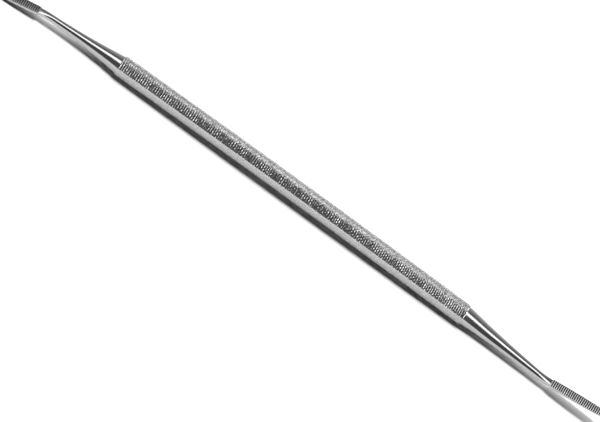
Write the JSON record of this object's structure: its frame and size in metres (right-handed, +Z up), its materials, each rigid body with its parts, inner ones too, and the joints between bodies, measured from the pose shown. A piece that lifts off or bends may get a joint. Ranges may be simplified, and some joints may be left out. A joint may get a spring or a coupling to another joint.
{
  "type": "double-ended nail file",
  "caption": "Slim steel hand tool: a knurled bowed handle with smooth flat sides, tapering polished necks and a narrow cross-cut file blade on each end, one turned down and one turned up.",
  "frame": {"origin": "middle of the underside of the whole tool's box, on the surface that the handle lies on", "axes": "+X along the handle towards the blade that turns up, +Y across the handle's smooth sides, +Z up out of the crowned grip face"},
  "size_m": [0.1598, 0.0052, 0.0043],
  "materials": {
    "grip_steel": "knurled on the crowned faces, fine satin on the flat sides",
    "file_steel": "polished necks with satin sides, cut teeth left bright"
  },
  "bodies": {
    "root": {"handle": "grip_steel", "down_turned_file_end": "file_steel", "up_turned_file_end": "file_steel"}
  },
  "joints": []
}
